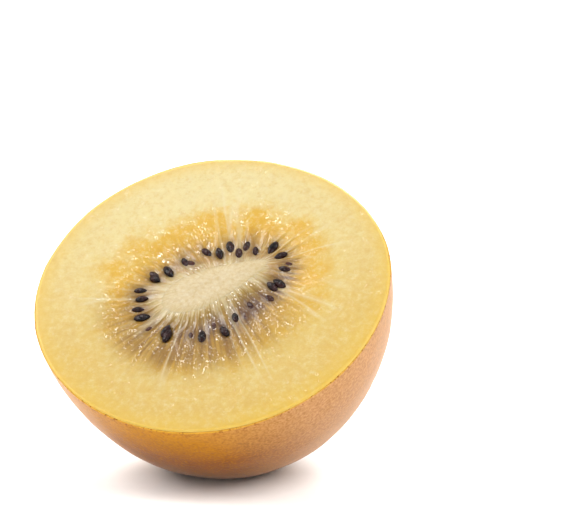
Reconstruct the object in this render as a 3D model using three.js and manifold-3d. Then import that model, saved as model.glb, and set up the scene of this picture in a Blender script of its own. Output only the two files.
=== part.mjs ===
// Half of a golden kiwi fruit, cut across its axis, lying on the rounded side of its dome with the cut face
// tilted up.
//
// Units are millimetres and +Z is up. Each piece is modelled upright in the fruit's own frame, where the
// cut face is the plane z = 0, facing +Z, and the dome hangs below it. One group then tilts the fruit and
// sets it down, so that the middle of the flat spot on which it rests is at the origin.
import * as THREE from "three";
import { mergeVertices } from "three/addons/utils/BufferGeometryUtils.js";
import Module from "manifold-3d";

const wasm = await Module();
wasm.setup();

// The whole half
const FACE_WIDTH = 54; // across the cut face, along the fruit's wider side
const FACE_HEIGHT = 51.6; // across the cut face, along its narrower side
const DEPTH = 32; // from the cut face to the tip
const ROUNDNESS = 2.11; // 2 gives an ellipse in a section through the axis, more gives squarer shoulders
const POINTEDNESS = 1.9; // the same for the tip, where under 2 gives a narrower one
const TILT = 41.6; // degrees from level to the cut face
const FLAT_DEPTH = 0.8; // how far the resting spot is pressed flat
// gentle bulges round the outline: how many, how high as a share of its radius, and their turn in degrees
const BULGES = [
  { count: 3, height: 0.0044, turn: 24 },
  { count: 4, height: 0.003, turn: 0 },
];

// Layers
const SKIN = 0.6; // thickness of the peel
const GAP = 0.3; // between neighbouring pieces
const SKIN_BELOW_FACE = 0.2; // the peel draws back a little from the cut
const SPARE = 3; // how far a cutting body reaches past the cut face

// Scar where the stalk sat, at the tip
const SCAR_RADIUS = 2.6;
const SCAR_HOLLOW = 0.35;
const SCAR_RIM_HEIGHT = 0.3;
const SCAR_RIM_WIDTH = 0.7;

// Core, a pale column that is a long oval in section
const CORE_CENTRE = [0.3, 1.4];
const CORE_LENGTH = 16.8;
const CORE_WIDTH = 6.2;
const CORE_TURN = 33; // degrees from the fruit's wider side to the core's longer one
const CORE_TAPER = 0.45; // how much narrower the core's right end is
const CORE_DEPTH = 21;
const CORE_BLUNTNESS = 0.7; // 1 rounds its lower end like a ball, less makes it blunter
const CORE_PROUD = 0.12; // above the cut face

// Cut face of the flesh: chambers run out from the core between low walls. Places on it are shares of the
// way from the core's edge to the flesh's.
const CHAMBERS = 32;
const CHAMBER_DIP = 0.45; // how far the chambered zone sinks below the cut face
const CHAMBER_PLACE = 0.19; // where it is deepest
const CHAMBER_SPREAD = 0.16;
const WALL_HEIGHT = 0.22; // chamber walls above the chamber floors
const WALL_SPREAD = 0.2;
const EDGE_ROUNDING = 0.25; // how far the flesh drops to its edge

// Seeds, each on a stalk from a collar round the core, below the cut face
const SEEDS = 32;
const SEED_LENGTH = 2.25;
const SEED_WIDTH = 1.12;
const SEED_THICKNESS = 0.95;
const SEED_SIZES = [0.74, 1.14]; // smallest and largest, times the length and width above
const SEED_SLIMMING = 0.36; // how much slimmer its pointed end is
const SEED_HEIGHTS = [-0.3, 0.1]; // of the deepest and highest seed's middle over the chamber floor
const SEED_PLACE = 0.175; // share of the way from the core to the rim
const SEED_DRIFT = 0.045; // how much further out it is on the lower side, and further in on the upper
const SEED_SCATTER = 0.045; // how far in or out of that place a seed may be, taking turns
const SEED_SHIFT = 0.42; // how far a seed may be from its even place along the ring, in spacings
const SEED_LEAN = 22; // degrees that a seed points off its ray, each way
const SEED_DRAW = 20; // start of the random draw
const STALK_RADIUS = 0.24;
const STALK_END = 0.25; // below the seed's middle
const COLLAR_WIDTH = 0.9;
const COLLAR_TOP = -1.9;
const COLLAR_BOTTOM = -2.8;

// Fineness of the meshes
const AROUND = 2 * CHAMBERS; // so that walls and chambers take turns
const OUTER_RINGS = 15;
const INNER_RINGS = 9;
const RING_CROWDING = 0.9; // under 1 draws the rings towards the tip, for the scar
const FACE_SHARES = [0.08, 0.14, 0.21, 0.29, 0.4, 0.58, 0.8, 0.94];
const CORE_AROUND = 36;
const CORE_RINGS = 5;
const SEED_SIDES = 7;
const SEED_RINGS = 4;
const STALK_SIDES = 4;
const RING_STEPS = 720; // for measuring along the ring of seeds

const LOOKS = {
  skin: { color: 0xb9813a, roughness: 0.6 },
  flesh: { color: 0xe9c95f, roughness: 0.3 },
  core: { color: 0xf0e4b4, roughness: 0.4 },
  seeds: { color: 0x2b1a1e, roughness: 0.25 },
};

const radians = THREE.MathUtils.degToRad;
const bump = (value, middle, spread) => Math.exp(-(((value - middle) / spread) ** 2));
const between = ([low, high], share) => low + (high - low) * share;
const stepsAround = (count) => Array.from({ length: count }, (_, step) => (2 * Math.PI * step) / count);

// Numbers from 0 to 1, the same on every run.
function randomDraw(start) {
  let state = start;
  return () => {
    state = (state * 1664525 + 1013904223) % 4294967296;
    return state / 4294967296;
  };
}

// Edge of the widest section, drawn in by inset: an oval with the slight unevenness of a grown fruit.
function sectionPoint(angle, inset = 0) {
  const bulge = ({ count, height, turn }) => height * Math.sin(count * angle - radians(turn));
  const uneven = BULGES.reduce((sum, one) => sum + bulge(one), 1);
  return [
    (FACE_WIDTH / 2 - inset) * uneven * Math.cos(angle),
    (FACE_HEIGHT / 2 - inset) * uneven * Math.sin(angle),
  ];
}

// Point of the dome, share 0 at the cut face and 1 at the tip.
function domePoint(angle, share, inset = 0) {
  const turn = (share * Math.PI) / 2;
  const narrowing = Math.cos(turn) ** (2 / ROUNDNESS);
  const down = (DEPTH - inset) * Math.sin(turn) ** (2 / POINTEDNESS);
  const [x, y] = sectionPoint(angle, inset);
  return new THREE.Vector3(x * narrowing, y * narrowing, -down);
}

// How much lower the scar brings the surface, at a distance from the axis.
function scarRelief(distance) {
  const rim = SCAR_RIM_HEIGHT * bump(distance, SCAR_RADIUS, SCAR_RIM_WIDTH);
  const hollow = SCAR_HOLLOW * bump(distance, 0, SCAR_RADIUS / 2);
  return rim - hollow;
}

// Edge of the core, grown outward by grow.
function corePoint(angle, grow = 0) {
  const along = (CORE_LENGTH / 2 + grow) * Math.cos(angle);
  const across = (CORE_WIDTH / 2 + grow) * Math.sin(angle) * (1 - CORE_TAPER * Math.cos(angle));
  const turn = radians(CORE_TURN);
  return [
    CORE_CENTRE[0] + along * Math.cos(turn) - across * Math.sin(turn),
    CORE_CENTRE[1] + along * Math.sin(turn) + across * Math.cos(turn),
  ];
}

// Point of the cut face on the ray that leaves the core at angle, share 0 at the core and 1 at the flesh's
// edge.
function facePoint(angle, share) {
  const [x0, y0] = corePoint(angle);
  const [x1, y1] = sectionPoint(angle + radians(CORE_TURN), SKIN + GAP);
  return [x0 + (x1 - x0) * share, y0 + (y1 - y0) * share];
}

// Height of the chamber floors, which sink round the seeds.
const chamberFloor = (share) => -CHAMBER_DIP * bump(share, CHAMBER_PLACE, CHAMBER_SPREAD);

// A closed mesh from rings of points, each ring with the same count, with a point at either end.
function ringSolid(first, rings, last) {
  const count = rings[0].length;
  const points = [first, ...rings.flat(), last];
  const index = [];
  const at = (ring, step) => 1 + ring * count + (step % count);
  for (let step = 0; step < count; step++) {
    index.push(0, at(0, step + 1), at(0, step));
    for (let ring = 0; ring + 1 < rings.length; ring++) {
      index.push(at(ring, step), at(ring, step + 1), at(ring + 1, step + 1));
      index.push(at(ring, step), at(ring + 1, step + 1), at(ring + 1, step));
    }
    index.push(at(rings.length - 1, step), at(rings.length - 1, step + 1), points.length - 1);
  }
  const geometry = new THREE.BufferGeometry().setFromPoints(points);
  geometry.setIndex(index);
  return solid(geometry);
}

// A three.js geometry as a solid that can be cut and joined.
function solid(geometry) {
  geometry.deleteAttribute("normal");
  geometry.deleteAttribute("uv");
  const merged = mergeVertices(geometry, 1e-4);
  return new wasm.Manifold(
    new wasm.Mesh({
      numProp: 3,
      vertProperties: merged.attributes.position.array,
      triVerts: new Uint32Array(merged.index.array),
    }),
  );
}

function geometryOf(body) {
  const mesh = body.getMesh();
  const geometry = new THREE.BufferGeometry();
  geometry.setAttribute("position", new THREE.BufferAttribute(mesh.vertProperties, 3));
  geometry.setIndex(new THREE.BufferAttribute(mesh.triVerts, 1));
  geometry.computeVertexNormals();
  return geometry;
}

// Shares of the way from the cut face to the tip, the nearest to the tip first.
function ringShares(count) {
  const even = Array.from({ length: count + 1 }, (_, ring) => (count - ring) / (count + 1));
  return even.map((share) => Math.sin((share * Math.PI) / 2) ** RING_CROWDING);
}

// The dome as a solid, with a flat top at the height top.
function dome(inset, top, count, relief = () => 0) {
  const rings = ringShares(count).map((share) =>
    stepsAround(AROUND).map((angle) => {
      const point = domePoint(angle, share, inset);
      point.z -= relief(Math.hypot(point.x, point.y));
      return point;
    }),
  );
  if (top > 0) rings.push(rings.at(-1).map((point) => new THREE.Vector3(point.x, point.y, top)));
  const tip = new THREE.Vector3(0, 0, -(DEPTH - inset) - relief(0));
  return ringSolid(tip, rings, new THREE.Vector3(0, 0, Math.max(top, 0)));
}

// Lowest point of the tilted fruit before its resting spot is pressed flat.
function lowestPoint() {
  const tilt = new THREE.Matrix4().makeRotationX(radians(TILT));
  let lowest = new THREE.Vector3(0, 0, 0);
  for (let share = 0; share <= 1; share += 0.001)
    for (const angle of stepsAround(4 * AROUND)) {
      const point = domePoint(angle, share).applyMatrix4(tilt);
      if (point.z < lowest.z) lowest = point;
    }
  return lowest;
}

const lowest = lowestPoint();
const setDown = new THREE.Vector3(-lowest.x, -lowest.y, -lowest.z - FLAT_DEPTH);

// Everything under a level plane at the given height over the table, in the fruit's own frame.
function belowHeight(height) {
  const size = 4 * FACE_WIDTH;
  const slab = new THREE.BoxGeometry(size, size, size).translate(0, 0, height - size / 2);
  slab.translate(-setDown.x, -setDown.y, -setDown.z).rotateX(-radians(TILT));
  return solid(slab);
}

// Everything over the cut face from the given height up.
function aboveFace(height) {
  const size = 4 * FACE_WIDTH;
  return solid(new THREE.BoxGeometry(size, size, size).translate(0, 0, height + size / 2));
}

// The core from the height top down to its rounded end, grown outward by grow.
function coreSolid(grow, top) {
  const [centreX, centreY] = CORE_CENTRE;
  const rings = [];
  for (let ring = CORE_RINGS - 1; ring >= 0; ring--) {
    const turn = ((ring / CORE_RINGS) * Math.PI) / 2;
    const narrowing = Math.cos(turn) ** CORE_BLUNTNESS;
    const down = (CORE_DEPTH + grow) * Math.sin(turn);
    rings.push(
      stepsAround(CORE_AROUND).map((angle) => {
        const [x, y] = corePoint(angle, grow);
        return new THREE.Vector3(
          centreX + (x - centreX) * narrowing,
          centreY + (y - centreY) * narrowing,
          -down,
        );
      }),
    );
  }
  rings.push(rings.at(-1).map((point) => new THREE.Vector3(point.x, point.y, top)));
  const end = new THREE.Vector3(centreX, centreY, -CORE_DEPTH - grow);
  return ringSolid(end, rings, new THREE.Vector3(centreX, centreY, top));
}

// The angle of the ray that meets the ring of seeds at each of many steps, and how far round the ring that
// is, as a share of its length.
function ringSteps() {
  const angles = stepsAround(RING_STEPS);
  const ring = angles.map((angle) => new THREE.Vector2(...facePoint(angle, SEED_PLACE)));
  const lengths = ring.map((point, step) => point.distanceTo(ring[(step + 1) % ring.length]));
  const total = lengths.reduce((sum, length) => sum + length, 0);
  let passed = 0;
  return angles.map((angle, step) => {
    passed += lengths[step];
    return { angle, way: passed / total };
  });
}

// Where each seed lies: the ray that it is on, its middle, its size and the way that it points, out from the
// core. Every other seed lies further in.
function seedPlaces() {
  const draw = randomDraw(SEED_DRAW);
  const eitherWay = () => 2 * draw() - 1;
  const steps = ringSteps();
  return Array.from({ length: SEEDS }, (_, number) => {
    const way = (number + 0.5 + SEED_SHIFT * eitherWay()) / SEEDS;
    const { angle } = steps.find((step) => step.way >= way);
    const drift = -SEED_DRIFT * Math.sin(angle + radians(CORE_TURN));
    const share = SEED_PLACE + drift + SEED_SCATTER * draw() * (number % 2 ? 1 : -1);
    const size = between(SEED_SIZES, draw());
    const lean = radians(SEED_LEAN) * eitherWay();
    const height = chamberFloor(share) + between(SEED_HEIGHTS, draw());
    const [x, y] = facePoint(angle, share);
    const [farX, farY] = facePoint(angle, 1);
    return { angle, x, y, height, size, heading: Math.atan2(farY - y, farX - x) + lean };
  });
}

// One seed: a flattened ball, drawn to a point at the end that faces the core.
function seedSolid(place, grow) {
  const geometry = new THREE.SphereGeometry(1, SEED_SIDES, SEED_RINGS).rotateZ(-Math.PI / 2);
  const position = geometry.attributes.position;
  for (let i = 0; i < position.count; i++) {
    const along = position.getX(i);
    const slim = 1 - SEED_SLIMMING * Math.max(0, -along) ** 2;
    position.setXYZ(
      i,
      along * ((SEED_LENGTH / 2) * place.size + grow),
      position.getY(i) * slim * ((SEED_WIDTH / 2) * place.size + grow),
      position.getZ(i) * slim * (SEED_THICKNESS / 2 + grow),
    );
  }
  geometry.rotateZ(place.heading);
  return solid(geometry.translate(place.x, place.y, place.height));
}

// The stalk from the collar up to a seed.
function stalkSolid(place, grow) {
  const [rootX, rootY] = corePoint(place.angle, GAP + COLLAR_WIDTH / 2);
  const root = new THREE.Vector3(rootX, rootY, (COLLAR_TOP + COLLAR_BOTTOM) / 2);
  const end = new THREE.Vector3(place.x, place.y, place.height - STALK_END);
  const way = end.clone().sub(root);
  const radius = STALK_RADIUS + grow;
  const stalk = new THREE.CylinderGeometry(radius, radius, way.length(), STALK_SIDES);
  const upright = new THREE.Vector3(0, 1, 0);
  stalk.applyQuaternion(new THREE.Quaternion().setFromUnitVectors(upright, way.clone().normalize()));
  const middle = root.add(end).multiplyScalar(0.5);
  return solid(stalk.translate(middle.x, middle.y, middle.z));
}

// The collar round the core, which joins all the stalks. With no hole it is the room that the collar needs.
function collarSolid(grow, hole) {
  const edge = (out) => stepsAround(CORE_AROUND).map((angle) => new THREE.Vector2(...corePoint(angle, out)));
  const shape = new THREE.Shape(edge(GAP + COLLAR_WIDTH + grow));
  if (hole) shape.holes.push(new THREE.Path(edge(GAP)));
  const depth = COLLAR_TOP - COLLAR_BOTTOM + 2 * grow;
  const collar = new THREE.ExtrudeGeometry(shape, { depth, bevelEnabled: false });
  return solid(collar.translate(0, 0, COLLAR_BOTTOM - grow));
}

// All seeds with their stalks and collar as one body, grown outward by grow to make the room for them.
function seedBody(grow, hole) {
  const pieces = seedPlaces().flatMap((place) => [seedSolid(place, grow), stalkSolid(place, grow)]);
  return pieces.reduce((body, piece) => body.add(piece), collarSolid(grow, hole));
}

const largest = (body) => body.decompose().sort((a, b) => b.volume() - a.volume())[0];

// The peel, a cup that is open at the cut.
function skin() {
  const outside = dome(0, 0, OUTER_RINGS, scarRelief).subtract(belowHeight(0));
  const inside = dome(SKIN, SPARE, INNER_RINGS).subtract(belowHeight(SKIN));
  return largest(outside.subtract(inside).subtract(aboveFace(-SKIN_BELOW_FACE)));
}

// The flesh, with the room for the core and the seeds cut out. Its dome keeps to the rays of the cut face,
// so that the two meet point for point.
function flesh() {
  const inset = SKIN + GAP;
  const rings = ringShares(INNER_RINGS).map((share) =>
    stepsAround(AROUND).map((angle) => domePoint(angle + radians(CORE_TURN), share, inset)),
  );
  rings.at(-1).forEach((point) => (point.z = -EDGE_ROUNDING));
  for (const share of FACE_SHARES.toReversed())
    rings.push(
      stepsAround(AROUND).map((angle, step) => {
        const [x, y] = facePoint(angle, share);
        const wall = step % 2 ? WALL_HEIGHT * bump(share, CHAMBER_PLACE, WALL_SPREAD) : 0;
        return new THREE.Vector3(x, y, chamberFloor(share) + wall);
      }),
    );
  const tip = new THREE.Vector3(0, 0, -(DEPTH - inset));
  const middle = new THREE.Vector3(...CORE_CENTRE, chamberFloor(0));
  const body = ringSolid(tip, rings, middle).subtract(belowHeight(inset));
  return largest(body.subtract(coreSolid(GAP, SPARE)).subtract(seedBody(GAP, false)));
}

const pieces = {
  skin: skin(),
  flesh: flesh(),
  core: coreSolid(0, CORE_PROUD),
  seeds: largest(seedBody(0, true)),
};

const fruit = new THREE.Group();
fruit.rotation.x = radians(TILT);
fruit.position.copy(setDown);
for (const [name, body] of Object.entries(pieces)) {
  const mesh = new THREE.Mesh(geometryOf(body), new THREE.MeshStandardMaterial(LOOKS[name]));
  mesh.name = name;
  fruit.add(mesh);
}

const halfKiwi = new THREE.Group();
halfKiwi.add(fruit);
export default halfKiwi;
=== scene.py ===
"""The looks of half a golden kiwi fruit that lies on the rounded side of its dome, built round the CAD frame.

Shapes are worked out in millimetres in the fruit's own frame, where the cut face is the plane z = 0 and
faces +Z. set_down() then tilts them, lays them on the floor and turns them into metres.
"""

import itertools
import math

import bmesh
import bpy
import numpy as np
from mathutils import Matrix, Vector
from mathutils.kdtree import KDTree


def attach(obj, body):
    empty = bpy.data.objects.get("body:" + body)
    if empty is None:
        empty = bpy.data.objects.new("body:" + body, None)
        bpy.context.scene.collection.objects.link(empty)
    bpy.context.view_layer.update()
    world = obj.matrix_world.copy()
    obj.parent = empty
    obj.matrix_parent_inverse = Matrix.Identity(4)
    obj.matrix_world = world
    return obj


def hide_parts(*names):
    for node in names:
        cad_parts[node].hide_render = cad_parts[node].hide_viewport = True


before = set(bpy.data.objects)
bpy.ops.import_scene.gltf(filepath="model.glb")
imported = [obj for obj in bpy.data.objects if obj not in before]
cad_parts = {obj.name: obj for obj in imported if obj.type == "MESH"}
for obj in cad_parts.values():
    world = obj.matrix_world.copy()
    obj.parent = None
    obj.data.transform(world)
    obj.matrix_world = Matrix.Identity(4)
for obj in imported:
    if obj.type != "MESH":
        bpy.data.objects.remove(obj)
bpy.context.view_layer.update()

MM = 0.001

# Size of the half, in millimetres, as the CAD model has it
FACE_WIDTH = 54
FACE_HEIGHT = 51.6
DEPTH = 32
ROUNDNESS = 2.11
POINTEDNESS = 1.9
TILT = math.radians(41.6)
FLAT_DEPTH = 0.8
BULGES = [(3, 0.0044, math.radians(24)), (4, 0.003, 0.0)]  # count, height as a share of the radius, turn
SKIN = 0.6
GAP = 0.3
SKIN_BELOW_FACE = 0.2
SCAR_RADIUS = 2.6
SCAR_HOLLOW = 0.35
SCAR_RIM_HEIGHT = 0.3
SCAR_RIM_WIDTH = 0.7

# Peel at the cut, where it thins out and the flesh reaches it
RIM_PEEL = 0.12
RIM_REACH = 1.5  # depth over which it thickens

# Core
CORE_CENTRE = np.array([0.3, 1.4])
CORE_LENGTH = 16.8
CORE_WIDTH = 6.2
CORE_TURN = math.radians(33)
CORE_TAPER = 0.45
CORE_DEPTH = 21
CORE_BLUNTNESS = 0.7
CORE_PROUD = 0.12
CORE_SIDE = (0.05, 1.5)  # start and end of its side, as turns in radians from the cut face to its lower end

# Cut face of the flesh. Places are shares of the way from the core's edge to the flesh's, under 0 in the core
CORE_SHARE = 0.2  # how far below 0 the core's middle counts as
CHAMBERS = 32
CHAMBER_DIP = 0.45
CHAMBER_PLACE = 0.19
CHAMBER_SPREAD = 0.16
WALL_HEIGHT = 0.22
WALL_SPREAD = 0.12
WALL_SHARPNESS = 0.17  # half-width of a wall, in chamber widths
WALL_WANDER = 0.35  # how far a wall strays from its even place, in chamber widths
WALL_WANDER_SIZE = 3.0  # over how many millimetres it strays and comes back
EDGE_ROUNDING = 0.15
EDGE_START = 0.975  # share where the flesh starts to round over to the peel
RAY_STRETCH = 0.12  # how little a texture that follows the rays changes along them
RAY_RADIUS = 9.24  # about how far the seeds are from the core's middle, where sizes across the rays hold

# Dull, olive and glassy tints of the flesh: where each lies, how far it spreads, the way from the core in
# which it is strongest, its share on the other side, its range of strengths along the rays, and its colour
TINTS = [
    (0.37, 0.16, math.radians(-95), 0.0, (0.7, 1.3), "#A0762C"),
    (0.07, 0.08, math.radians(-75), 0.0, (0.5, 1.3), "#A98414"),
    (0.19, 0.11, math.radians(-50), 0.35, (0.3, 1.3), "#7A583C"),
]
PAINTED_SHEEN_WAY = (0.31, 0.95, 0.0)  # the way in which the outer flesh is painted palest, a painted sheen for the light from above, in the frame of the rays
LEVEL = 0.44  # share of the light that flesh and core give back, against their tones

# Patch of the peel in front that is left without the painted sheen of its sides, in metres: its middle, and
# how far from there the painted sheen starts and is full
SHEEN_GAP_PLACE = (-2.0 * MM, -18.0 * MM, 6.0 * MM)
SHEEN_GAP_REACH = 8.0 * MM
FULL_SHEEN_REACH = 21.0 * MM

# Seeds
SEEDS = 32
SEED_LENGTH = 2.25
SEED_WIDTH = 1.12
SEED_THICKNESS = 0.95
SEED_SIZES = (0.74, 1.14)
SEED_SLIMMING = 0.36
SEED_HEIGHTS = (-0.3, 0.1)
SEED_PLACE = 0.175
SEED_DRIFT = 0.045
SEED_SCATTER = 0.045
SEED_SHIFT = 0.42
SEED_LEAN = math.radians(22)
SEED_DRAW = 20
RING_STEPS = 720
PIT_DEPTHS = (-0.16, 0.2)  # the flesh's hollow round the deepest seed, which it covers, and the highest
PIT_WIDTH = 1.3  # its size, in seed sizes
HALO_REACH = 1.1  # how far the dark of a seed glows through the flesh, across the seed
HALO_LENGTH = 1.65  # how many times further it glows along the seed
HALO_STRENGTH = 0.5

# Relief too fine for the CAD solids: width and height of each size of unevenness
LUMPS = [(9.0, 0.10), (3.2, 0.04)]
KNIFE_WAVES = [(7.0, 0.05), (1.6, 0.02), (0.55, 0.010)]
CORE_WAVES = [(1.5, 0.04), (0.45, 0.025)]

# Raised pores of the peel
SPECKS = 6000
SPECK_RADIUS = (0.12, 0.26)
SPECK_HEIGHT = 0.05
SPECK_STRENGTH = (0.2, 1.0)
SPECK_SHAKE = 0.33
SPECK_DRAW = 7

# Fineness of the meshes, in steps
PEEL_AROUND = 420
PEEL_RINGS = 195
FACE_AROUND = 640
FACE_RINGS = 112
FACE_CROWDING = 1.25  # over 1 draws the rings of the face towards the core, where the seeds are
HIDDEN_RINGS = 8
CORE_AROUND = 320
CORE_RINGS = 40
SEED_SIDES = 20
SEED_RINGS = 12
LAST_SHARE = 0.999  # of the last hidden ring before the tip

# Fineness of the search for the dome's lowest point, in steps
REST_AROUND = 256
REST_RINGS = 1001

# Camera, fitted to the cut edge and the outline in the photograph, with distances in millimetres
AZIMUTH = math.radians(15.25)
ELEVATION = math.radians(10)
CAMERA_DISTANCE = 450
FACE_LEFT_OF_MIDDLE = 11.90
FACE_BELOW_MIDDLE = 3.94
FOCAL_PIXELS = 3029
IMAGE_WIDTH = 582
SENSOR_WIDTH = 36

# White room: its light, its floor, and soft boxes, each with the way to it from the cut face, its distance
# and width in metres and its power in watts
ROOM_LIGHT = 0.42
FLOOR_REACH = 4.0
SOFT_BOXES = [
    ("overhead_box", (-0.12, 0.25, 0.95), 0.70, 0.90, 1.2),
    ("left_box", (-0.7, -0.12, 0.62), 0.60, 0.45, 4.7),
    ("right_box", (0.7, -0.12, 0.66), 0.60, 0.45, 4.4),
    ("backdrop_box", (0.0, 0.83, 0.55), 1.00, 0.60, 7.0),
    ("front_box", (0.1, -1.0, 0.3), 0.60, 0.50, 1.0),
    ("glint_box", (-0.24, -0.06, 0.97), 0.50, 0.065, 0.50),
]

FULL_TURN = 2 * math.pi
GOLDEN_ANGLE = math.pi * (3 - math.sqrt(5))


# Form


def bump(value, middle, spread):
    return np.exp(-(((value - middle) / spread) ** 2))


def steps_around(count):
    return np.arange(count) * FULL_TURN / count


def section(angle, inset=0.0):
    """Edge of the widest section, drawn in by inset."""
    uneven = 1 + sum(height * np.sin(count * angle - turn) for count, height, turn in BULGES)
    x = (FACE_WIDTH / 2 - inset) * uneven * np.cos(angle)
    y = (FACE_HEIGHT / 2 - inset) * uneven * np.sin(angle)
    return np.stack([x, y], -1)


def dome(angle, share, inset=0.0):
    """Points of the dome, share 0 at the cut face and 1 at the tip."""
    angle, share = np.broadcast_arrays(angle, share)
    turn = share * math.pi / 2
    narrowing = np.clip(np.cos(turn), 0, 1) ** (2 / ROUNDNESS)
    down = (DEPTH - inset) * np.sin(turn) ** (2 / POINTEDNESS)
    return np.concatenate([section(angle, inset) * narrowing[..., None], -down[..., None]], -1)


def share_at_depth(depth):
    """The dome's share where it is that far below the cut face."""
    return math.asin((depth / DEPTH) ** (POINTEDNESS / 2)) * 2 / math.pi


def shares_up_to(edge, rings):
    """The dome's shares from near its tip up to edge, close together there, where the peel thins out."""
    return edge + (LAST_SHARE - edge) * np.linspace(1, 0, rings)[:, None] ** 2


def thinned(share):
    """How far the peel's inside is from its outside, thinner towards the cut."""
    depth = DEPTH * np.sin(share * math.pi / 2) ** (2 / POINTEDNESS)
    return SKIN - (SKIN - RIM_PEEL) * bump(depth, 0, RIM_REACH)


def core_edge(angle):
    along = CORE_LENGTH / 2 * np.cos(angle)
    across = CORE_WIDTH / 2 * np.sin(angle) * (1 - CORE_TAPER * np.cos(angle))
    x = CORE_CENTRE[0] + along * math.cos(CORE_TURN) - across * math.sin(CORE_TURN)
    y = CORE_CENTRE[1] + along * math.sin(CORE_TURN) + across * math.cos(CORE_TURN)
    return np.stack([x, y], -1)


def core_below(angle, rings):
    """The core's side from just under the cut face to its rounded lower end."""
    turn = np.linspace(*CORE_SIDE, rings)[:, None]
    narrowing = (np.cos(turn) ** CORE_BLUNTNESS)[..., None]
    flat = CORE_CENTRE + (core_edge(angle)[None] - CORE_CENTRE) * narrowing
    down = CORE_DEPTH * np.sin(turn) + 0 * angle[None]
    return np.concatenate([flat, -down[..., None]], -1)


def face_point(angle, share, inset):
    """Point of the cut face on the ray that leaves the core at angle, at a share of the flesh's width."""
    start = core_edge(angle)
    end = section(angle + CORE_TURN, inset)
    return start + (end - start) * np.asarray(share)[..., None]


def on_face(flat):
    """Points in space from their places in the plane of the cut face."""
    return np.concatenate([flat, np.zeros(flat.shape[:-1] + (1,))], -1)


def ray_vector(angle, share):
    """Where a texture that runs along the rays is looked up."""
    return np.stack([np.cos(angle), np.sin(angle), share * RAY_STRETCH], -1)


def chamber_floor(share):
    return -CHAMBER_DIP * bump(share, CHAMBER_PLACE, CHAMBER_SPREAD)


def tilted(points):
    turn = np.array(Matrix.Rotation(TILT, 3, "X"))
    return points @ turn.T


def resting_place():
    """Where the middle of the cut face goes, so that the lowest point is pressed flat on the floor."""
    angle, share = np.meshgrid(steps_around(REST_AROUND), np.linspace(0, 1, REST_RINGS))
    points = tilted(dome(angle, share)).reshape(-1, 3)
    lowest = points[points[:, 2].argmin()]
    return np.array([-lowest[0], -lowest[1], -lowest[2] - FLAT_DEPTH])


FACE_MIDDLE = resting_place()


def set_down(points, floor=-1.0):
    """Points of the fruit's own frame in metres in the part's, none under the height floor."""
    placed = tilted(points) + FACE_MIDDLE
    placed[..., 2] = np.maximum(placed[..., 2], floor)
    return placed * MM


# Noise


def cell_value(cell, seed):
    """A fixed number from -1 to 1 for each cell of a grid. Its long numbers only scramble the cell's."""
    mixed = cell[..., 0] * 73856093 ^ cell[..., 1] * 19349663 ^ cell[..., 2] * 83492791 ^ seed * 40503
    mixed = (mixed ^ (mixed >> 13)) * 1274126177 & 0x7FFFFFFF
    return mixed / 0x3FFFFFFF - 1


def grain(points, size, seed=1):
    """Smooth noise from -1 to 1 whose lumps are about size across."""
    scaled = points / size
    cell = np.floor(scaled).astype(np.int64)
    part = scaled - cell
    ease = part * part * (3 - 2 * part)
    total = np.zeros(points.shape[:-1])
    for corner in itertools.product((0, 1), repeat=3):
        weight = np.prod(np.where(corner, ease, 1 - ease), -1)
        total += weight * cell_value(cell + np.array(corner), seed)
    return total


def waves(points, sizes):
    return sum(height * grain(points, size, seed) for seed, (size, height) in enumerate(sizes, 1))


def random_draw(start):
    """Numbers from 0 to 1, the same as in the CAD model."""
    state = start
    while True:
        state = (state * 1664525 + 1013904223) % 4294967296
        yield state / 4294967296


# Meshes


def ring_body(name, rings, first, last, attributes=()):
    """A closed mesh from rings of points in metres, with a point at either end and attributes a point."""
    count, around = rings.shape[:2]
    points = np.concatenate([rings.reshape(-1, 3), [first], [last]])
    ring, step = np.meshgrid(np.arange(count - 1), np.arange(around), indexing="ij")
    here = ring * around + step
    beside = ring * around + (step + 1) % around
    quads = np.stack([here, beside, beside + around, here + around], -1).reshape(-1, 4)
    steps = np.arange(around)
    following = (steps + 1) % around
    end = (count - 1) * around
    first_fan = np.stack([np.full(around, len(points) - 2), following, steps], -1)
    last_fan = np.stack([np.full(around, len(points) - 1), end + steps, end + following], -1)
    mesh = bpy.data.meshes.new(name)
    mesh.from_pydata(points.tolist(), [], quads.tolist() + first_fan.tolist() + last_fan.tolist())
    for label, values in dict(attributes).items():
        add_attribute(mesh, label, values, around)
    return finished(mesh)


def add_attribute(mesh, label, values, around):
    """Stores a number or a vector a point. The two end points take the mean of the ring beside them."""
    is_vector = values.ndim == 3
    flat = values.reshape(values.shape[0] * values.shape[1], -1)
    ends = np.stack([flat[:around].mean(0), flat[-around:].mean(0)])
    made = mesh.attributes.new(label, "FLOAT_VECTOR" if is_vector else "FLOAT", "POINT")
    field = "vector" if is_vector else "value"
    made.data.foreach_set(field, np.concatenate([flat, ends]).astype(np.float32).ravel())


def finished(mesh):
    """Turns a mesh's faces outwards, smooths its shading and puts it in the scene."""
    work = bmesh.new()
    work.from_mesh(mesh)
    bmesh.ops.recalc_face_normals(work, faces=work.faces)
    work.to_mesh(mesh)
    work.free()
    mesh.polygons.foreach_set("use_smooth", [True] * len(mesh.polygons))
    made = bpy.data.objects.new(mesh.name, mesh)
    bpy.context.scene.collection.objects.link(made)
    return made


def dress(piece, node, material):
    piece.data.materials.clear()
    piece.data.materials.append(material)
    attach(piece, "root")
    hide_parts(node)


# Material nodes

FACTOR, UNDER, OVER, MIXED = 0, 6, 7, 2  # the Mix node's sockets when it mixes colours


def linear(hex_colour):
    """An sRGB hex colour as the linear values that the nodes take."""
    parts = [int(hex_colour[i : i + 2], 16) / 255 for i in (1, 3, 5)]
    return (*[p / 12.92 if p <= 0.04045 else ((p + 0.055) / 1.055) ** 2.4 for p in parts], 1.0)


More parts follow.
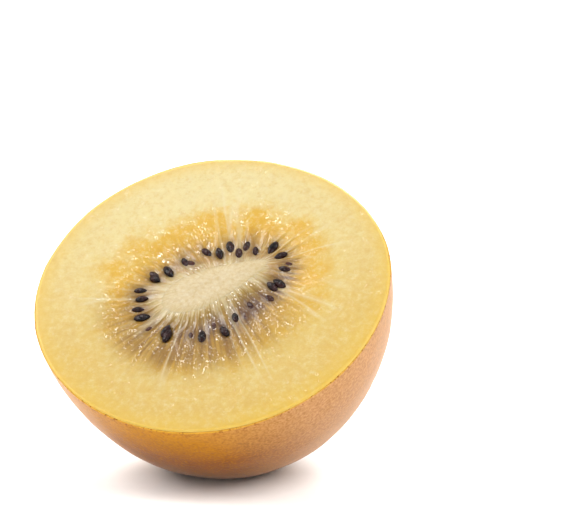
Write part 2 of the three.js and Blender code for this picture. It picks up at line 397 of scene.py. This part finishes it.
def add(tree, kind, inputs=(), stops=(), **settings):
    """Adds a node with its settings and links, and returns its outputs.

    Inputs are values, hex colours or other nodes' outputs, by socket or else in the order of the sockets.
    That order is, for MapRange, a value, its range's start and end, and the low and high that they become.
    Stops are a ramp's colours, its two ends first.
    """
    node = tree.nodes.new("ShaderNode" + kind)
    for name, value in settings.items():
        setattr(node, name, value)
    by_socket = inputs if isinstance(inputs, dict) else dict(enumerate(inputs))
    for socket, value in by_socket.items():
        if isinstance(value, bpy.types.NodeSocket):
            tree.links.new(value, node.inputs[socket])
        else:
            node.inputs[socket].default_value = linear(value) if isinstance(value, str) else value
    for number, (place, colour) in enumerate(stops):
        elements = node.color_ramp.elements
        stop = elements[number] if number < 2 else elements.new(place)
        stop.position = place
        stop.color = linear(colour)
    return node.outputs


def layered(tree, colour, layers):
    """A colour with others laid over it in turn, each as densely as its share from 0 to 1 says."""
    for share, over in layers:
        inputs = {FACTOR: share, UNDER: colour, OVER: over}
        colour = add(tree, "Mix", inputs, data_type="RGBA")[MIXED]
    return colour


def per_metre(millimetres):
    """Scale of a texture whose features are that many millimetres across."""
    return 1000 / millimetres


def across_rays(millimetres):
    """The same for a texture that follows the rays, near the seeds."""
    return RAY_RADIUS / millimetres


def new_material(name, constants):
    """A material and its shader, with the values that are the same all over its surface."""
    made = bpy.data.materials.new(name)
    made.use_nodes = True
    shader = made.node_tree.nodes["Principled BSDF"]
    for socket, value in constants.items():
        shader.inputs[socket].default_value = value
    return made, made.node_tree, shader


# Materials


def peel_tones(tree, place, depth, grains):
    """Amber with a painted glow of light near the cut, and tan towards both sides as a painted sheen, with
    light and dark grains.
    """
    blotch = add(tree, "TexNoise", {"Vector": place, "Scale": per_metre(8), "Detail": 4.0})["Fac"]
    stops = [(0.3, "#683602"), (0.7, "#834A06"), (0.5, "#764004")]
    tone = add(tree, "ValToRGB", {"Fac": blotch}, stops)["Color"]
    # painted light: the peel is painted amber just under the cut, for the light that comes through the flesh
    # there
    lit_depth = add(tree, "Math", [blotch, 5.0, 6.0], operation="MULTIPLY_ADD")["Value"]
    painted_glow_share = add(tree, "Math", [depth, lit_depth], operation="DIVIDE")["Value"]
    # painted sheen: the peel is painted tan away from the front patch, towards both sides, for the light that
    # its sides catch
    away = add(tree, "VectorMath", [place, SHEEN_GAP_PLACE], operation="DISTANCE")["Value"]
    side_sheen = layered(tree, "#93683E", [(add(tree, "MapRange", [grains, 0.34, 0.66])["Result"], "#B0845A")])
    layers = [
        (add(tree, "MapRange", [painted_glow_share, 0.05, 1.1, 0.9, 0.0])["Result"], "#A87004"),
        (add(tree, "MapRange", [grains, 0.5, 0.68, 0.0, 0.5])["Result"], "#AE7614"),
        (add(tree, "MapRange", [grains, 0.32, 0.48, 0.4, 0.0])["Result"], "#5E3204"),
        (add(tree, "MapRange", [away, SHEEN_GAP_REACH, FULL_SHEEN_REACH, 0.0, 0.9])["Result"], side_sheen),
    ]
    return layered(tree, tone, layers)


def peel_material():
    """Ripe fruit peel: amber under the cut, where light through the flesh is painted, and tan towards both
    sides, a painted sheen.
    """
    constants = {
        "IOR": 1.4,
        "Specular IOR Level": 0.12,
        "Subsurface Weight": 0.15,
        "Subsurface Scale": 1.2 * MM,
        "Subsurface Radius": (1.0, 0.45, 0.15),
        "Sheen Weight": 0.3,
        "Sheen Roughness": 0.3,
        "Sheen Tint": linear("#FFE6D5"),
    }
    made, tree, shader = new_material("kiwi_peel", constants)
    place = add(tree, "TexCoord")["Object"]
    depth = add(tree, "Attribute", attribute_name="depth")["Fac"]
    speck = add(tree, "Attribute", attribute_name="speck")["Fac"]
    grains = add(tree, "TexNoise", {"Vector": place, "Scale": per_metre(0.4), "Detail": 3.0})["Fac"]
    # the yellow layer under the peel shows at its cut edge, with a few dried nicks
    nicks = add(tree, "TexNoise", {"Vector": place, "Scale": per_metre(0.5), "Detail": 2.0})["Fac"]
    dried = add(tree, "MapRange", [nicks, 0.56, 0.64])["Result"]
    at_edge = add(tree, "MapRange", [depth, 0.6, 1.4, 0.7, 0.0])["Result"]
    layers = [
        (add(tree, "MapRange", [speck, 0.35, 0.75, 0.0, 0.5])["Result"], "#5C300A"),
        (add(tree, "MapRange", [depth, 0.22, 0.5, 0.75, 0.0])["Result"], "#C09030"),
        (add(tree, "Math", [dried, at_edge], operation="MULTIPLY")["Value"], "#70390C"),
    ]
    colour = layered(tree, peel_tones(tree, place, depth, grains), layers)
    tree.links.new(colour, shader.inputs["Base Color"])
    roughness = add(tree, "MapRange", [grains, 0.3, 0.7, 0.4, 0.6])["Result"]
    tree.links.new(roughness, shader.inputs["Roughness"])
    relief = add(tree, "Bump", {"Height": grains, "Strength": 0.6, "Distance": 0.06 * MM})["Normal"]
    tree.links.new(relief, shader.inputs["Normal"])
    return made


def ray_threads(tree, ray, share, spacing, width, reaches, strength):
    """Lines that run out from the core, each to a length of its own. Returns how strongly they show."""
    scale = across_rays(spacing)
    lines = add(tree, "TexNoise", {"Vector": ray, "Scale": scale, "Detail": 1.0})["Fac"]
    middle = add(tree, "Math", [lines, 0.5], operation="SUBTRACT")["Value"]
    off = add(tree, "Math", [middle], operation="ABSOLUTE")["Value"]
    near = add(tree, "MapRange", [off, 0.0, width, strength, 0.0])["Result"]
    length = add(tree, "TexNoise", {"Vector": ray, "Scale": scale / 2, "Detail": 0.0})["Fac"]
    reach = add(tree, "MapRange", [length, 0.46, 0.68, *reaches])["Result"]
    left = add(tree, "Math", [reach, share], operation="SUBTRACT")["Value"]
    fading = add(tree, "MapRange", [left, 0.0, 0.25])["Result"]
    return add(tree, "Math", [near, fading], operation="MULTIPLY")["Value"]


def core_fibres(tree, ray, share):
    """How strongly the core's pale fibres show. They end unevenly on both sides of the core's edge."""
    fibres = add(tree, "TexNoise", {"Vector": ray, "Scale": across_rays(0.308), "Detail": 3.0})["Fac"]
    reach = add(tree, "MapRange", [fibres, 0.3, 0.7, -0.05, 0.08])["Result"]
    left = add(tree, "Math", [reach, share], operation="SUBTRACT")["Value"]
    return add(tree, "MapRange", [left, -0.03, 0.06])["Result"]


def flesh_zones(tree, place, ray, share):
    """Colour from the core out: dull between the seeds, gold beyond them, straw, and yellow at the peel, with
    a painted sheen over the upper outer flesh.
    """
    cloud_inputs = {"Vector": place, "Scale": per_metre(6), "Detail": 7.0, "Roughness": 0.7}
    cloud = add(tree, "TexNoise", cloud_inputs)["Fac"]
    shift = add(tree, "MapRange", [cloud, 0.25, 0.75, -0.18, 0.18])["Result"]
    moved = add(tree, "Math", [share, shift], operation="ADD")["Value"]
    stops = [
        (0.00, "#D4B878"),
        (1.00, "#ECC963"),
        (0.10, "#BF9450"),
        (0.20, "#E0AD3E"),
        (0.30, "#ECB93A"),
        (0.42, "#EABC42"),
        (0.58, "#ECCC74"),
        (0.68, "#EBCB76"),
        (0.80, "#E9C66C"),
    ]
    zones = add(tree, "ValToRGB", {"Fac": moved}, stops)["Color"]
    # painted sheen: the outer flesh is painted paler on its upper side, for the light from above that it
    # catches
    toward_sheen = add(tree, "VectorMath", [ray, PAINTED_SHEEN_WAY], operation="DOT_PRODUCT")["Value"]
    upper_sheen = add(tree, "MapRange", [toward_sheen, -0.4, 1.0, 0.0, 0.9])["Result"]
    outer = add(tree, "MapRange", [moved, 0.40, 0.64])["Result"]
    cell_inputs = {"Vector": place, "Scale": per_metre(1), "Detail": 5.0, "Roughness": 0.75}
    cells = add(tree, "TexNoise", cell_inputs)["Fac"]
    layers = [
        (add(tree, "Math", [upper_sheen, outer], operation="MULTIPLY")["Value"], "#F3E2A6"),
        (add(tree, "MapRange", [cells, 0.5, 0.7, 0.0, 0.5])["Result"], "#FAEBB0"),
        (add(tree, "MapRange", [cells, 0.3, 0.5, 0.35, 0.0])["Result"], "#D9A53C"),
        (add(tree, "MapRange", [share, 0.86, 1.0, 0.0, 0.55])["Result"], "#F4C84E"),
    ]
    return layered(tree, zones, layers)


def tint_layers(tree, ray):
    """The tints of the flesh, broken into streaks along the rays."""
    vector = add(tree, "Attribute", attribute_name="tints")["Vector"]
    strengths = add(tree, "SeparateXYZ", {"Vector": vector})
    streak = add(tree, "TexNoise", {"Vector": ray, "Scale": across_rays(0.42), "Detail": 3.0})["Fac"]
    layers = []
    for axis, (*_, streak_range, colour) in zip("XYZ", TINTS):
        broken = add(tree, "MapRange", [streak, 0.35, 0.65, *streak_range])["Result"]
        inputs = [strengths[axis], broken]
        layers.append((add(tree, "Math", inputs, operation="MULTIPLY", use_clamp=True)["Value"], colour))
    return layers


def flesh_colour(tree, place, ray, share):
    """Zones, tints and pale rays of the flesh, the dark of the seeds in it and painted light at its rim."""
    halo = add(tree, "Attribute", attribute_name="halo")["Fac"]
    layers = [
        *tint_layers(tree, ray),
        (ray_threads(tree, ray, share, 0.385, 0.06, (0.0, 0.45), 0.25), "#F6E9C0"),
        (ray_threads(tree, ray, share, 1.32, 0.07, (-0.2, 0.8), 0.45), "#F6E9C0"),
        (core_fibres(tree, ray, share), "#E6D2A4"),
        (halo, "#573B30"),
        (1 - LEVEL, "#000000"),
        # painted light: the rounded rim of the flesh, over the edge of the peel, is coloured lighter to lift
        # the shade it falls into as it turns down
        (add(tree, "MapRange", [share, 0.978, 0.998, 0.0, 0.4])["Result"], "#DAB65C"),
    ]
    return layered(tree, flesh_zones(tree, place, ray, share), layers)


def facet_normal(tree, place, scale, lean_most):
    """Small wet facets, a cut cell each, that lean their own way. Returns the way they face."""
    cells = add(tree, "TexVoronoi", {"Vector": place, "Scale": scale})["Color"]
    off = add(tree, "VectorMath", [cells, (0.5, 0.5, 0.5)], operation="SUBTRACT")["Vector"]
    lean = add(tree, "VectorMath", {0: off, "Scale": lean_most}, operation="SCALE")["Vector"]
    straight = add(tree, "NewGeometry")["Normal"]
    leaning = add(tree, "VectorMath", [straight, lean], operation="ADD")["Vector"]
    return add(tree, "VectorMath", [leaning], operation="NORMALIZE")["Vector"]


def wet_coat(tree, shader, place, ray, share):
    """Juice on the cut: a coat of small facets, thickest round the seeds and patchy."""
    juice = add(tree, "TexNoise", {"Vector": place, "Scale": per_metre(3), "Detail": 3.0})["Fac"]
    near_seeds = add(tree, "MapRange", [share, 0.2, 0.6, 1.0, 0.13])["Result"]
    patches = add(tree, "MapRange", [juice, 0.36, 0.56, 0.35, 1.0])["Result"]
    wetness = add(tree, "Math", [near_seeds, patches], operation="MULTIPLY")["Value"]
    tree.links.new(wetness, shader.inputs["Coat Weight"])
    # the facets are longer along the rays
    along = add(tree, "VectorMath", [ray, (1.0, 1.0, 6.0)], operation="MULTIPLY")["Vector"]
    tree.links.new(facet_normal(tree, along, across_rays(0.0924), 0.27), shader.inputs["Coat Normal"])


def flesh_material():
    """Ripe kiwi flesh: watery cells under a wet cut, so it glows from inside and glitters where wet."""
    constants = {
        "IOR": 1.36,
        "Specular IOR Level": 0.2,
        "Subsurface Weight": 0.35,
        "Subsurface Scale": 1.6 * MM,
        "Subsurface Radius": (1.0, 0.6, 0.2),
        "Coat Roughness": 0.05,
        "Coat IOR": 1.36,
    }
    made, tree, shader = new_material("kiwi_flesh", constants)
    place = add(tree, "TexCoord")["Object"]
    ray = add(tree, "Attribute", attribute_name="ray")["Vector"]
    share = add(tree, "Attribute", attribute_name="share")["Fac"]
    tree.links.new(flesh_colour(tree, place, ray, share), shader.inputs["Base Color"])
    cell_inputs = {"Vector": place, "Scale": per_metre(0.7), "Detail": 4.0, "Roughness": 0.65}
    cells = add(tree, "TexNoise", cell_inputs)["Fac"]
    relief = add(tree, "Bump", {"Height": cells, "Strength": 0.5, "Distance": 0.08 * MM})["Normal"]
    tree.links.new(relief, shader.inputs["Normal"])
    roughness = add(tree, "MapRange", [cells, 0.3, 0.7, 0.3, 0.5])["Result"]
    tree.links.new(roughness, shader.inputs["Roughness"])
    wet_coat(tree, shader, place, ray, share)
    return made


def core_material():
    """Pith of the fruit: packed fibres with air between them, so pale, dense and hardly glossy."""
    constants = {
        "IOR": 1.38,
        "Roughness": 0.5,
        "Subsurface Weight": 0.3,
        "Subsurface Scale": 1.5 * MM,
        "Subsurface Radius": (1.0, 0.8, 0.4),
    }
    made, tree, shader = new_material("kiwi_core", constants)
    place = add(tree, "TexCoord")["Object"]
    ray = add(tree, "Attribute", attribute_name="ray")["Vector"]
    share = add(tree, "Attribute", attribute_name="share")["Fac"]
    fibre_inputs = {"Vector": place, "Scale": per_metre(0.6), "Detail": 4.0, "Roughness": 0.7}
    fibre = add(tree, "TexNoise", fibre_inputs)["Fac"]
    stops = [(0.3, "#D8BE84"), (0.7, "#F0DEB6"), (0.5, "#E6D0A2")]
    tone = add(tree, "ValToRGB", {"Fac": fibre}, stops)["Color"]
    layers = [(core_fibres(tree, ray, share), tone), (1 - LEVEL, "#000000")]
    tree.links.new(layered(tree, "#D4B878", layers), shader.inputs["Base Color"])
    relief = add(tree, "Bump", {"Height": fibre, "Strength": 0.8, "Distance": 0.12 * MM})["Normal"]
    tree.links.new(relief, shader.inputs["Normal"])
    return made


def seed_material():
    """Seed coat: hard, pitted and wet, so nearly black with small lights, and browner under flesh."""
    constants = {"IOR": 1.45, "Specular IOR Level": 0.05, "Coat Weight": 0.25, "Coat Roughness": 0.05}
    made, tree, shader = new_material("kiwi_seed_coat", constants)
    place = add(tree, "TexCoord")["Object"]
    buried = add(tree, "Attribute", attribute_name="buried")["Fac"]
    mottle = add(tree, "TexNoise", {"Vector": place, "Scale": per_metre(1.2), "Detail": 4.0})["Fac"]
    tone = add(tree, "ValToRGB", {"Fac": mottle}, [(0.38, "#080304"), (0.72, "#2C1210")])["Color"]
    covered = add(tree, "MapRange", [buried, 0.5, 1.0, 0.0, 0.6])["Result"]
    tree.links.new(layered(tree, tone, [(covered, "#46281E")]), shader.inputs["Base Color"])
    # a net of fine pits breaks up the shine
    tree.links.new(facet_normal(tree, place, per_metre(0.3), 0.9), shader.inputs["Coat Normal"])
    return made


def floor_material():
    """Matt white studio board."""
    made, tree, shader = new_material("studio_board", {"Roughness": 0.9})
    place = add(tree, "TexCoord")["Object"]
    paper = add(tree, "TexNoise", {"Vector": place, "Scale": per_metre(2), "Detail": 2.0})["Fac"]
    tone = add(tree, "ValToRGB", {"Fac": paper}, [(0.0, "#F3F2F0"), (1.0, "#F7F6F5")])["Color"]
    tree.links.new(tone, shader.inputs["Base Color"])
    return made


# Peel


def scar_relief(distance):
    """How much lower the scar brings the tip, at a distance from the axis."""
    rim = SCAR_RIM_HEIGHT * bump(distance, SCAR_RADIUS, SCAR_RIM_WIDTH)
    hollow = SCAR_HOLLOW * bump(distance, 0, SCAR_RADIUS / 2)
    return rim - hollow


def outward(points):
    """Roughly the way out of the dome at each point."""
    way = points / np.array([FACE_WIDTH / 2, FACE_HEIGHT / 2, DEPTH]) ** 2
    return way / np.linalg.norm(way, axis=-1, keepdims=True)


def speck_places():
    """Middles, radii and strengths of pores, along a golden-angle spiral over the dome, then shaken."""
    draw = np.random.default_rng(SPECK_DRAW)
    number = np.arange(SPECKS)
    share = np.arcsin((number + 0.5) / SPECKS) * 2 / math.pi
    middles = dome(number * GOLDEN_ANGLE, share)
    middles += draw.normal(0, SPECK_SHAKE, middles.shape)
    return middles, draw.uniform(*SPECK_RADIUS, SPECKS), draw.uniform(*SPECK_STRENGTH, SPECKS)


def speck_strength(points):
    """How strongly a pore shows at each point, from 0 to 1."""
    middles, radii, strengths = speck_places()
    tree = KDTree(SPECKS)
    for number, middle in enumerate(middles):
        tree.insert(middle, number)
    tree.balance()
    found = [tree.find(point)[1:] for point in points.reshape(-1, 3)]
    nearest = np.array([number for number, _ in found])
    distance = np.array([away for _, away in found])
    strength = strengths[nearest] * np.exp(-((distance / radii[nearest]) ** 2))
    return strength.reshape(points.shape[:-1])


def build_peel():
    angle = steps_around(PEEL_AROUND)
    edge = share_at_depth(SKIN_BELOW_FACE)
    outer = dome(angle[None], np.linspace(edge, 1, PEEL_RINGS + 1)[:-1, None])
    depth = -outer[..., 2]
    speck = speck_strength(outer)
    scar = scar_relief(np.hypot(outer[..., 0], outer[..., 1])) * (depth > DEPTH / 2)
    lift = waves(outer, LUMPS) + SPECK_HEIGHT * speck
    outer = outer + outward(outer) * lift[..., None]
    outer[..., 2] -= scar
    inner_share = shares_up_to(edge, 2 * HIDDEN_RINGS)
    inner = dome(angle[None], inner_share, thinned(inner_share))
    rings = np.concatenate([set_down(inner, SKIN), set_down(outer, 0.0)])
    tip = set_down(np.array([0, 0, -DEPTH - scar_relief(0)]), 0.0)
    inner_tip = set_down(np.array([0, 0, SKIN - DEPTH]), SKIN)
    attributes = {
        "depth": np.concatenate([-inner[..., 2], depth]),
        "speck": np.concatenate([np.zeros(inner.shape[:2]), speck]),
    }
    peel = ring_body("peel", rings, inner_tip, tip, attributes)
    dress(peel, "skin", peel_material())


# Seeds


def seed_places():
    """Each seed's middle, size, heading and height over the chamber floor, by the CAD model's rule."""
    draw = random_draw(SEED_DRAW)
    angles = steps_around(RING_STEPS)
    ring = face_point(angles, np.full(RING_STEPS, SEED_PLACE), SKIN + GAP)
    lengths = np.linalg.norm(np.roll(ring, -1, 0) - ring, axis=1)
    ways = np.cumsum(lengths) / lengths.sum()
    places = []
    for number in range(SEEDS):
        way = (number + 0.5 + SEED_SHIFT * (2 * next(draw) - 1)) / SEEDS
        angle = angles[np.searchsorted(ways, way)]
        drift = -SEED_DRIFT * math.sin(angle + CORE_TURN)
        share = SEED_PLACE + drift + SEED_SCATTER * next(draw) * (1 if number % 2 else -1)
        size = np.interp(next(draw), (0, 1), SEED_SIZES)
        lean = SEED_LEAN * (2 * next(draw) - 1)
        over = np.interp(next(draw), (0, 1), SEED_HEIGHTS)
        middle = face_point(angle, share, SKIN + GAP)
        way_out = face_point(angle, 1.0, SKIN + GAP) - middle
        heading = math.atan2(way_out[1], way_out[0]) + lean
        places.append((np.array([*middle, chamber_floor(share) + over]), size, heading, over))
    return places


def seed_points(place, turn, side):
    """Points of one seed: turn goes from its pointed end to its round one, side goes round it."""
    middle, size, heading, _ = place
    along = -np.cos(turn) + 0 * side
    slim = 1 - SEED_SLIMMING * np.maximum(0, -along) ** 2
    across = np.sin(turn) * np.cos(side) * slim * SEED_WIDTH / 2 * size
    up = np.sin(turn) * np.sin(side) * slim * SEED_THICKNESS / 2
    along = along * SEED_LENGTH / 2 * size
    x = along * math.cos(heading) - across * math.sin(heading)
    y = along * math.sin(heading) + across * math.cos(heading)
    return middle + np.stack([x, y, up], -1)


def build_seeds(places):
    turn = np.linspace(0, math.pi, SEED_RINGS + 2)[1:-1, None]
    side = steps_around(SEED_SIDES)[None]
    made = []
    for place in places:
        rings = seed_points(place, turn, side)
        ends = seed_points(place, np.array([0, math.pi]), np.zeros(2))
        buried = np.full(rings.shape[:2], np.interp(place[3], SEED_HEIGHTS, (1, 0)))
        made.append(ring_body("seed_ring", set_down(rings), *set_down(ends), {"buried": buried}))
    with bpy.context.temp_override(active_object=made[0], selected_editable_objects=made):
        bpy.ops.object.join()
    dress(made[0], "seeds", seed_material())


# Flesh


def seed_marks(points, places):
    """How deep each point's pit round a seed is, and the glow of the seeds through the flesh, from 0 to 1."""
    pit = np.zeros(points.shape[:-1])
    halo = np.zeros(points.shape[:-1])
    for middle, size, heading, over in places:
        offset = points[..., :2] - middle[:2]
        along = offset[..., 0] * math.cos(heading) + offset[..., 1] * math.sin(heading)
        across = -offset[..., 0] * math.sin(heading) + offset[..., 1] * math.cos(heading)
        oval = np.hypot(along / (SEED_LENGTH / 2 * size), across / (SEED_WIDTH / 2 * size))
        pit += np.exp(-((oval / PIT_WIDTH) ** 4)) * np.interp(over, SEED_HEIGHTS, PIT_DEPTHS)
        halo = np.maximum(halo, bump(np.hypot(along / HALO_LENGTH, across), 0, HALO_REACH))
    return pit, halo


def chamber_walls(points, angles, shares):
    strays = grain(points, WALL_WANDER_SIZE, seed=5)
    chamber = angles * CHAMBERS / FULL_TURN + WALL_WANDER * strays
    to_wall = np.abs(chamber - np.floor(chamber) - 0.5)
    return WALL_HEIGHT * bump(to_wall, 0, WALL_SHARPNESS) * bump(shares, CHAMBER_PLACE, WALL_SPREAD)


def flesh_tints(angles, shares):
    """How strong each tint is at each point of the cut face."""
    strengths = []
    for place, spread, side, least, *_ in TINTS:
        facing = np.clip(np.cos(angles + CORE_TURN - side), 0, 1)
        strengths.append(bump(shares, place, spread) * (least + (1 - least) * facing))
    return np.stack(strengths, -1)


def cut_face(angle, places):
    """Points of the flesh's cut face, in rings from the peel in to the core, and their attributes."""
    angles, shares = np.meshgrid(angle, np.linspace(1, 0, FACE_RINGS) ** FACE_CROWDING)
    points = on_face(face_point(angles, shares, RIM_PEEL))
    pit, halo = seed_marks(points, places)
    walls = chamber_walls(points, angles, shares) * (1 - halo)
    over = np.maximum(0, shares - EDGE_START) / (1 - EDGE_START)
    rounding = EDGE_ROUNDING * over**2
    points[..., 2] = chamber_floor(shares) + walls - pit + waves(points, KNIFE_WAVES) - rounding
    attributes = {
        "share": shares,
        "halo": halo * HALO_STRENGTH,
        "tints": flesh_tints(angles, shares),
        "ray": ray_vector(angles, shares),
    }
    return points, attributes


def build_flesh(places):
    angle = steps_around(FACE_AROUND)
    face, of_face = cut_face(angle, places)
    side_share = shares_up_to(share_at_depth(EDGE_ROUNDING + SKIN_BELOW_FACE), HIDDEN_RINGS)
    side = dome(angle[None] + CORE_TURN, side_share, thinned(side_share))
    hole = core_below(angle, HIDDEN_RINGS)
    rings = np.concatenate([set_down(side, SKIN), set_down(face), set_down(hole)])
    attributes = {}
    for label, values in of_face.items():
        # the side that touches the peel counts as the rim of the face
        at_side = np.full(side.shape[:2] + values.shape[2:], 1.0 if label == "share" else 0.0)
        in_hole = np.zeros(hole.shape[:2] + values.shape[2:])
        attributes[label] = np.concatenate([at_side, values, in_hole])
    tip = set_down(np.array([0, 0, SKIN - DEPTH]), SKIN)
    bottom = set_down(np.array([*CORE_CENTRE, -CORE_DEPTH]))
    flesh = ring_body("flesh_body", rings, tip, bottom, attributes)
    dress(flesh, "flesh", flesh_material())


# Core


def build_core():
    angle = steps_around(CORE_AROUND)
    # the last two rings lie close together, so that the edge stays sharp and doesn't shade the face
    out = np.append(np.linspace(0.02, 0.995, CORE_RINGS - 1), 1.0)
    angles, outs = np.meshgrid(angle, out)
    points = on_face(CORE_CENTRE + (core_edge(angles) - CORE_CENTRE) * outs[..., None])
    crown = CORE_PROUD + (chamber_floor(0) - CORE_PROUD) * outs**3
    points[..., 2] = crown + waves(points, KNIFE_WAVES) + waves(points, CORE_WAVES) * (1 - outs**4)
    below = core_below(angle, HIDDEN_RINGS)
    rings = np.concatenate([set_down(points), set_down(below)])
    shares = np.concatenate([CORE_SHARE * (outs - 1), np.zeros(below.shape[:2])])
    all_angles = np.broadcast_to(angle, shares.shape)
    attributes = {"share": shares, "ray": ray_vector(all_angles, shares)}
    top = set_down(np.array([*CORE_CENTRE, CORE_PROUD]))
    bottom = set_down(np.array([*CORE_CENTRE, -CORE_DEPTH]))
    core = ring_body("core_pith", rings, top, bottom, attributes)
    dress(core, "core", core_material())


# Studio


def build_floor():
    mesh = bpy.data.meshes.new("floor")
    corners = [(x * FLOOR_REACH, y * FLOOR_REACH, 0) for x, y in ((-1, -1), (1, -1), (1, 1), (-1, 1))]
    mesh.from_pydata(corners, [], [(0, 1, 2, 3)])
    mesh.materials.append(floor_material())
    floor = bpy.data.objects.new("floor", mesh)
    bpy.context.scene.collection.objects.link(floor)


def build_lights():
    world = bpy.data.worlds.new("white_room")
    world.use_nodes = True
    background = world.node_tree.nodes["Background"]
    background.inputs["Color"].default_value = (1.0, 1.0, 1.0, 1.0)
    background.inputs["Strength"].default_value = ROOM_LIGHT
    bpy.context.scene.world = world
    for name, way, distance, width, power in SOFT_BOXES:
        data = bpy.data.lights.new(name, "AREA")
        data.size = width
        data.energy = power
        lamp = bpy.data.objects.new(name, data)
        lamp.location = Vector(FACE_MIDDLE * MM) + Vector(way).normalized() * distance
        lamp.rotation_euler = Vector(way).to_track_quat("Z", "Y").to_euler()
        bpy.context.scene.collection.objects.link(lamp)


def build_camera():
    data = bpy.data.cameras.new("camera")
    data.sensor_width = SENSOR_WIDTH
    data.lens = FOCAL_PIXELS / IMAGE_WIDTH * SENSOR_WIDTH
    data.clip_start = 0.01
    camera = bpy.data.objects.new("camera", data)
    flat_cos = math.cos(ELEVATION)
    across = Vector((math.cos(AZIMUTH), math.sin(AZIMUTH), 0))
    back = Vector((math.sin(AZIMUTH) * flat_cos, -math.cos(AZIMUTH) * flat_cos, math.sin(ELEVATION)))
    up = back.cross(across)
    offset = across * FACE_LEFT_OF_MIDDLE + up * FACE_BELOW_MIDDLE + back * CAMERA_DISTANCE
    camera.location = (Vector(FACE_MIDDLE) + offset) * MM
    camera.rotation_euler = Matrix((across, up, back)).transposed().to_euler()
    bpy.context.scene.collection.objects.link(camera)
    bpy.context.scene.camera = camera


build_camera()
build_floor()
build_lights()
seeds_at = seed_places()
build_peel()
build_flesh(seeds_at)
build_core()
build_seeds(seeds_at)
bpy.context.scene.view_settings.view_transform = "Standard"

bpy.context.view_layer.update()
